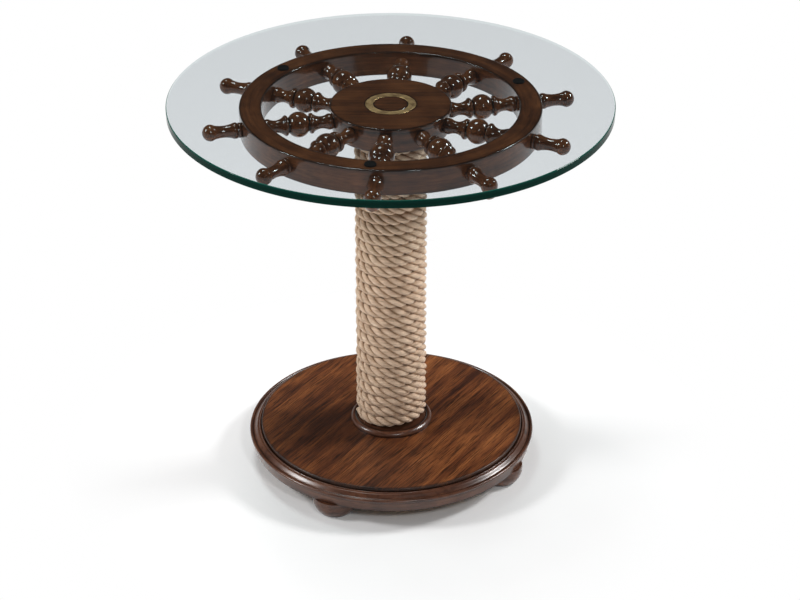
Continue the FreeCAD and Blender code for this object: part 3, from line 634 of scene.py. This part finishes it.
def make_handles():
    """A ring at the rim, a shoulder, a waist and a round knob."""
    face = rim_outer + FIT
    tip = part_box("handle_1")[1].x
    length = tip - face
    # Radii, from the rim to the knob
    ring, ring_side, groove, shoulder_side = 11.4 * MM, 10.8 * MM, 9.5 * MM, 11.2 * MM
    shoulder, waist, knob = 12.0 * MM, 8.9 * MM, 12.5 * MM
    shoulder_end, swell, knob_side = [
        between(waist, shoulder, 0.62), between(waist, knob, 0.42), between(waist, knob, 0.80)]
    # Places along the handle
    ring_end = face + 4.4 * MM
    groove_end = ring_end + 1.0 * MM
    shoulder_at, shoulder_end_at, waist_at, swell_at = [
        face + length * share for share in (0.14, 0.24, 0.48, 0.68)]
    knob_at = tip - knob
    outline = [(face, 0), (face, ring_side)]
    outline += bow(outline[-1], ((face + ring_end) / 2, ring), (ring_end, ring_side))
    outline += [(ring_end, groove), (groove_end, groove), (groove_end, shoulder_side)]
    outline += bow(outline[-1], (shoulder_at, shoulder), (shoulder_end_at, shoulder_end))
    outline += bow(outline[-1], (waist_at, waist), (swell_at, swell), steps=14)
    outline += bow(outline[-1], ((swell_at + knob_at) / 2, knob_side), (knob_at, knob))
    outline += bow(outline[-1], (knob_at + knob * HALF_ROOT, knob * HALF_ROOT), (tip, 0), steps=14)
    model = turn_for_wheel("handle_model", outline)
    corners = [(face, ring_side), (ring_end, groove), (groove_end, groove)]
    # Dark glaze and painted shade where the handle meets the rim and in its groove
    gather_glaze_and_shade(model, about_spoke, corners, width=1.2 * MM)
    set_round_wheel(model, "turned_handle", "handle", first_board=30)


def make_hub():
    """A drum with a wider cap, and a brass ring round a wood button let into the cap."""
    corners = [(ROD_BORE, cap_bottom), (hub_radius, cap_bottom), (hub_radius, hub_bottom),
               (ROD_BORE, hub_bottom)]
    drum = turn("hub_drum", divide(ease_third(corners, 3 * MM)), HUB_STEPS)
    round_grain(drum, board=50)
    # Dark glaze and painted shade at the drum's edges, under the cap
    gather_glaze_and_shade(drum, about_column, corners[1:3], width=2.5 * MM)
    finish_piece(drum, wheel_wood, "wheel_wood", "hub_body")

    recess = brass_radius + FIT
    floor = brass_low.z
    corners = [(ROD_BORE, cap_bottom), (cap_radius, cap_bottom), (cap_radius, wheel_top),
               (recess, wheel_top), (recess, floor), (ROD_BORE, floor)]
    cap = turn("hub_disc", divide(ease_third(corners, 1.5 * MM)), HUB_STEPS)
    straight_grain(cap, board=51, angle=HEADING)
    # Dark glaze and painted shade at the cap's edges and round the brass ring
    gather_glaze_and_shade(cap, about_column, corners[1:4], width=1.8 * MM)
    finish_piece(cap, wheel_wood, "wheel_wood", "hub_cap")

    inner = plug_radius + FIT
    edge = 0.5 * MM
    top = wheel_top - edge
    outline = [(inner, floor), (brass_radius, floor), (brass_radius, top),
               (brass_radius - edge, wheel_top), (inner + edge, wheel_top), (inner, top),
               (inner, floor)]
    ring = turn("inlaid_ring", outline, HUB_STEPS)
    finish_piece(ring, brass, "brushed_brass", "brass_ring")

    outline = [(0, floor), (plug_radius, floor), (plug_radius, top),
               (plug_radius - edge, wheel_top), (0, wheel_top)]
    button = turn("hub_button", divide(outline), BUTTON_STEPS)
    straight_grain(button, board=52, angle=HEADING)
    # Dark glaze and painted shade round the button's edge
    gather_glaze_and_shade(button, about_column, [(plug_radius, wheel_top)], width=2.6 * MM)
    finish_piece(button, wheel_wood, "wheel_wood", "hub_plug")


def across_rope(spot):
    """How far a point of the rope lies from the column's axis, and how far above its turn's middle."""
    turns = (math.atan2(spot.y, spot.x) - ROPE_START) / FULL_TURN
    lift = (spot.z - rope_bottom - rise_per_turn * turns) % rise_per_turn
    return math.hypot(spot.x, spot.y), lift


def rope_line():
    """The middle of the rope, read from a smooth spline that winds up the column a little unevenly."""
    # The spline cuts the corners between its points, so these stand farther out
    reach = winding_radius / math.cos(math.pi / ROPE_POINTS_PER_TURN)
    chance = random.Random(5)
    deselect()
    bpy.ops.curve.primitive_nurbs_path_add()
    route = bpy.context.object
    route.data.splines.clear()
    spline = route.data.splines.new("NURBS")
    spline.points.add(int(ROPE_TURNS * ROPE_POINTS_PER_TURN))
    for index, point in enumerate(spline.points):
        turns = index / ROPE_POINTS_PER_TURN
        lift = rope_bottom + rise_per_turn * turns + chance.uniform(-0.7, 0.7) * MM
        angle = ROPE_START + FULL_TURN * turns
        radius = reach + chance.uniform(-0.6, 0.5) * MM
        point.co = (radius * math.cos(angle), radius * math.sin(angle), lift, 1)
    spline.order_u = 3
    spline.use_endpoint_u = True
    spline.resolution_u = 6
    route.data.resolution_u = 6
    line = bpy.data.meshes.new_from_object(route)
    spots = [point.co.copy() for point in line.vertices]
    bpy.data.meshes.remove(line)
    bpy.data.objects.remove(route)
    return spots


def ways_along(spots):
    """Each spot of the rope's line with its run so far, its direction, and the ways out and aside."""
    run = 0.0
    for index, spot in enumerate(spots):
        before = spots[max(index - 1, 0)]
        after = spots[min(index + 1, len(spots) - 1)]
        run += (spot - before).length
        along = (after - before).normalized()
        out = Vector((spot.x, spot.y, 0))
        out = (out - along * out.dot(along)).normalized()
        yield spot, run, along, out, along.cross(out)


def start_lines(name, count, points):
    """A new curve object with a number of straight-sided lines."""
    deselect()
    bpy.ops.curve.primitive_nurbs_path_add()
    holder = bpy.context.object
    holder.name = name
    holder.data.splines.clear()
    lines = [holder.data.splines.new("POLY") for line in range(count)]
    for line in lines:
        line.points.add(points - 1)
    return holder, lines


def thicken_lines(holder, radius, resolution):
    """Makes the lines of a curve object closed round tubes of a mesh."""
    holder.data.dimensions = "3D"
    holder.data.twist_mode = "Z_UP"
    holder.data.bevel_depth = radius
    holder.data.bevel_resolution = resolution
    holder.data.use_fill_caps = True
    bpy.ops.object.convert(target="MESH")
    piece = bpy.context.object
    piece.data.name = piece.name
    bpy.ops.object.shade_smooth()
    return piece


def make_rope(ways):
    """Three strands laid right-handed along the rope's line, with painted shade towards the rope's
    middle.
    """
    chance = random.Random(11)
    holder, strands = start_lines("laid_rope", STRAND_COUNT, len(ways))
    for index, (spot, run, _, out, aside) in enumerate(ways):
        for number, strand in enumerate(strands):
            phase = FULL_TURN * (run / ROPE_LAY + number / STRAND_COUNT)
            offset = STRAND_REACH * (math.cos(phase) * out + math.sin(phase) * aside)
            strand.points[index].co = (*(spot + offset), 1)
            strand.points[index].radius = 1 + chance.uniform(-0.05, 0.05)
    rope = thicken_lines(holder, STRAND_RADIUS, resolution=3)
    # Painted shade near the rope's middle line, in the crevices between the strands
    rope_middles = [(winding_radius, 0), (winding_radius, rise_per_turn)]
    gather_glaze_and_shade(rope, across_rope, rope_middles, width=6.5 * MM)
    finish_piece(rope, rope_jute, "jute_rope", "rope_winding")


def make_fibres(ways):
    """Stray fibres that stand off the rope, thinner towards their tips."""
    root_depth = 0.8 * MM
    taper = 0.7
    chance = random.Random(23)
    holder, fibres = start_lines("rope_fibres", FIBRE_COUNT, FIBRE_POINTS)
    for fibre in fibres:
        spot, _, along, out, aside = chance.choice(ways)
        lean = chance.uniform(-1.0, 1.0)
        root = (out * math.cos(lean) + aside * math.sin(lean)) * (rope_radius - root_depth)
        outward = out * chance.uniform(0.15, 0.7)
        onward = along * chance.choice((-1, 1))
        sideward = aside * chance.uniform(-0.6, 0.6)
        way = outward + onward + sideward
        curl = Vector([chance.uniform(-0.5, 0.5) for axis in range(3)])
        length = chance.uniform(4, 11) * MM
        for index, point in enumerate(fibre.points):
            share = index / (FIBRE_POINTS - 1)
            point.co = (*(spot + root + (way + curl * share) * length * share), 1)
            point.radius = 1 - taper * share
    piece = thicken_lines(holder, FIBRE_RADIUS, resolution=0)
    finish_piece(piece, rope_jute, "jute_rope")


def make_collar():
    """A turned ring with a rounded ridge, which the rope stands in."""
    foot = collar_high.x
    bottom, top = collar_low.z, collar_high.z
    floor = top - COLLAR_FLOOR_DROP
    foot_top = bottom + 2 * MM
    ridge_outer = foot - 2.2 * MM
    ridge_inner = ridge_outer - 6 * MM
    bore = post_radius + FIT
    side = (between(ridge_outer, foot, HALF_ROOT), between(foot_top, floor, HALF_ROOT))
    outline = [(bore, bottom), (foot, bottom), (foot, foot_top)]
    outline += bow(outline[-1], side, (ridge_outer, floor))
    outline += bow(outline[-1], ((ridge_outer + ridge_inner) / 2, top), (ridge_inner, floor))
    outline += [(bore, floor), (bore, bottom)]
    collar = turn("turned_collar", divide(outline), HUB_STEPS)
    round_grain(collar, board=60)
    # Dark glaze and painted shade at the collar's foot and in its floor, where the rope stands
    gather_glaze_and_shade(collar, about_column, [(foot, bottom), (ridge_inner, floor)], width=2.2 * MM)
    finish_piece(collar, base_wood, "turned_base_wood", "base_collar")


def make_panel():
    """A disc with an eased edge, and painted shade all the way down its side."""
    ease = 2.5 * MM
    corners = [(PANEL_BORE, panel_low.z), (panel_radius, panel_low.z), (panel_radius, panel_top),
               (PANEL_BORE, panel_top)]
    panel = turn("veneered_panel", divide(ease_third(corners, ease)), BASE_STEPS)
    straight_grain(panel, board=70, angle=VENEER_HEADING, share=VENEER_GRAIN_SHARE)
    # Painted shade down the panel's side
    edge = [(panel_radius, panel_low.z + rise) for rise in (0, 4 * MM, 8 * MM)] + corners[2:3]
    gather_glaze_and_shade(panel, about_column, edge, width=2.5 * MM)
    finish_piece(panel, veneer, "panel_veneer", "base_panel")


def make_moulding():
    """From below: a band that leans out, a quirk, a bead, a slope and a thin lip."""
    low, high = moulding_low.z, moulding_high.z
    core = core_radius + FIT
    core_top = panel_low.z
    foot = base_radius - 5 * MM
    band = base_radius - 2.5 * MM
    band_top = low + 15 * MM
    quirk = band - 0.8 * MM
    bead_low = band_top + 0.8 * MM
    bead_crest = bead_low + 2.2 * MM
    bead_high = bead_low + 4 * MM
    bead_inner = base_radius - 5 * MM
    groove = panel_radius + 1.2 * MM
    lip_outer = groove + 2.6 * MM
    lip_side = high - 1.3 * MM
    # The slope bends into the hollow over the bead and into the shoulder under the lip
    bend, bend_middle = 0.7 * MM, 0.15 * MM
    slope_foot = (bead_inner - 2.4 * MM, bead_high + bend)
    slope_top = (lip_outer + 3.1 * MM, lip_side - bend)
    hollow = (bead_inner - 1.2 * MM, bead_high + bend_middle)
    shoulder = (lip_outer + 2.2 * MM, lip_side - bend_middle)
    shoulder_end = (lip_outer + 1.0 * MM, lip_side)
    outline = [(core, low), (foot, low), (band, band_top), (quirk, bead_low)]
    outline += bow(outline[-1], (base_radius, bead_crest), (bead_inner, bead_high), steps=16)
    outline += bow(outline[-1], hollow, slope_foot, steps=5)
    outline.append(slope_top)
    outline += bow(slope_top, shoulder, shoulder_end, steps=5)
    outline.append((lip_outer, lip_side))
    outline += bow(outline[-1], ((groove + lip_outer) / 2, high), (groove, lip_side), steps=10)
    outline += [(groove, core_top), (core, core_top), (core, low)]
    moulding = turn("base_rim", divide(outline), BASE_STEPS)
    round_grain(moulding, board=80)
    # Dark glaze and painted shade in the quirk, over the bead, in the groove by the panel and along the
    # bottom
    corners = [(quirk, bead_low), (bead_inner, bead_high), (groove, core_top), (foot, low)]
    gather_glaze_and_shade(moulding, about_column, corners, width=1.2 * MM)
    finish_piece(moulding, base_wood, "turned_base_wood", "base_moulding")


def make_feet():
    """Four flattened buns, widest near the top."""
    sole_radius = 27 * MM
    top_radius = 34.55 * MM
    crest_share = 0.8
    for index in range(FOOT_COUNT):
        low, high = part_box(f"bun_foot_{index + 1}")
        middle = (low + high) / 2
        radius = (high.x - low.x) / 2
        crest = between(low.z, high.z, crest_share)
        outline = [(0, low.z), (sole_radius, low.z)]
        outline += bow(outline[-1], (radius, crest), (top_radius, high.z), steps=14)
        outline.append((0, high.z))
        foot = turn(f"bun_{index + 1}", divide(outline), FOOT_STEPS)
        straight_grain(foot, board=90 + index)
        # Painted shade round the sole, near the floor
        gather_glaze_and_shade(foot, about_column, [(sole_radius, low.z)], width=3.0 * MM)
        foot.data.transform(Matrix.Translation((middle.x, middle.y, 0)))
        finish_piece(foot, base_wood, "turned_base_wood", f"bun_foot_{index + 1}")


def dress_frame():
    """Finishes for the frame's own nodes that no piece replaces."""
    finishes = {"glass_bumper": rubber, "rim_joint": bare_wood, "column_post": bare_wood,
                "base_core": bare_wood, "tie_rod": steel, "top_": steel, "bottom_": steel,
                "foot_bolts": steel, "foot_glides": nylon}
    for name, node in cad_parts.items():
        for start, material in finishes.items():
            if name.startswith(start):
                node.data.materials.clear()
                node.data.materials.append(material)


# Stage

def make_floor():
    """A pale floor that keeps the table's shadow near it and fades to white farther off."""
    width = 60
    fade_start, fade_end = 0.18, 0.52
    deselect()
    bpy.ops.mesh.primitive_plane_add(size=width)
    floor = bpy.context.object
    floor.name = "studio_floor"
    material, tree, shader = new_finish("studio_floor")
    shader.inputs["Base Color"].default_value = (0.90, 0.90, 0.90, 1)
    shader.inputs["Roughness"].default_value = 0.9
    shader.inputs["Specular IOR Level"].default_value = 0.0
    distance = add(tree, "VectorMath", {0: own_spot(tree)}, operation="LENGTH").outputs["Value"]
    path = add(tree, "LightPath").outputs
    seen = math_of(tree, "MAXIMUM", path["Is Camera Ray"], path["Is Glossy Ray"])
    seen = math_of(tree, "MAXIMUM", seen, path["Is Transmission Ray"])
    fade = math_of(tree, "MULTIPLY", seen, span(tree, distance, 0.0, 1.0, fade_start, fade_end))
    white = add(tree, "Emission").outputs["Emission"]
    both = add(tree, "MixShader", {0: fade, 1: shader.outputs["BSDF"], 2: white})
    tree.links.new(both.outputs["Shader"], tree.nodes["Material Output"].inputs["Surface"])
    floor.data.materials.append(material)


def make_world():
    """A room that is pale near the floor and dark above, and white to the camera."""
    pale, dark = 0.80, 0.02
    pale_rise, dark_rise = 0.05, 0.22
    world = bpy.data.worlds.new("studio")
    bpy.context.scene.world = world
    world.use_nodes = True
    tree = world.node_tree
    direction = add(tree, "TexCoord").outputs["Generated"]
    rise = add(tree, "SeparateXYZ", {"Vector": direction}).outputs["Z"]
    walls = span(tree, rise, pale, dark, pale_rise, dark_rise)
    seen = add(tree, "LightPath").outputs["Is Camera Ray"]
    background = tree.nodes["Background"]
    tree.links.new(math_of(tree, "MAXIMUM", seen, walls), background.inputs["Strength"])
    background.inputs["Color"].default_value = (1, 1, 1, 1)


def make_lamp(name, spot, size, power):
    """A square softbox that faces the middle of the table."""
    table_middle = Vector((0, 0, 0.35))
    lamp = bpy.data.lights.new(name, "AREA")
    lamp.size = size
    lamp.energy = power
    holder = bpy.data.objects.new(name, lamp)
    holder.location = spot
    aim = table_middle - holder.location
    holder.rotation_euler = aim.to_track_quat("-Z", "Y").to_euler()
    bpy.context.scene.collection.objects.link(holder)


def make_camera():
    """A long lens in front of the table, looking down at it."""
    spot = Vector((0, -3.266, 2.096))
    look_down = 29.197
    look_aside = 0.24
    camera = bpy.data.cameras.new("camera")
    camera.sensor_width = 36
    camera.lens = 109.4
    camera.clip_end = 100
    holder = bpy.data.objects.new("camera", camera)
    holder.location = Matrix.Rotation(HEADING, 3, "Z") @ spot
    holder.rotation_euler = (math.radians(90 - look_down), 0, HEADING - math.radians(look_aside))
    bpy.context.scene.collection.objects.link(holder)
    bpy.context.scene.camera = holder


bpy.context.scene.view_settings.view_transform = "Standard"
make_glass()
make_rim()
make_spokes()
make_handles()
make_hub()
rope_ways = list(ways_along(rope_line()))
make_rope(rope_ways)
make_fibres(rope_ways)
make_collar()
make_panel()
make_moulding()
make_feet()
dress_frame()
make_floor()
make_world()
make_lamp("key_box", spot=(-0.5, 1.3, 4.4), size=1.1, power=86)
make_lamp("left_box", spot=(-3.4, 0.5, 2.7), size=0.9, power=92)
make_lamp("right_box", spot=(3.3, 0.1, 2.8), size=0.9, power=116)
make_lamp("front_box", spot=(0.3, -3.7, 3.3), size=0.6, power=48)
make_camera()
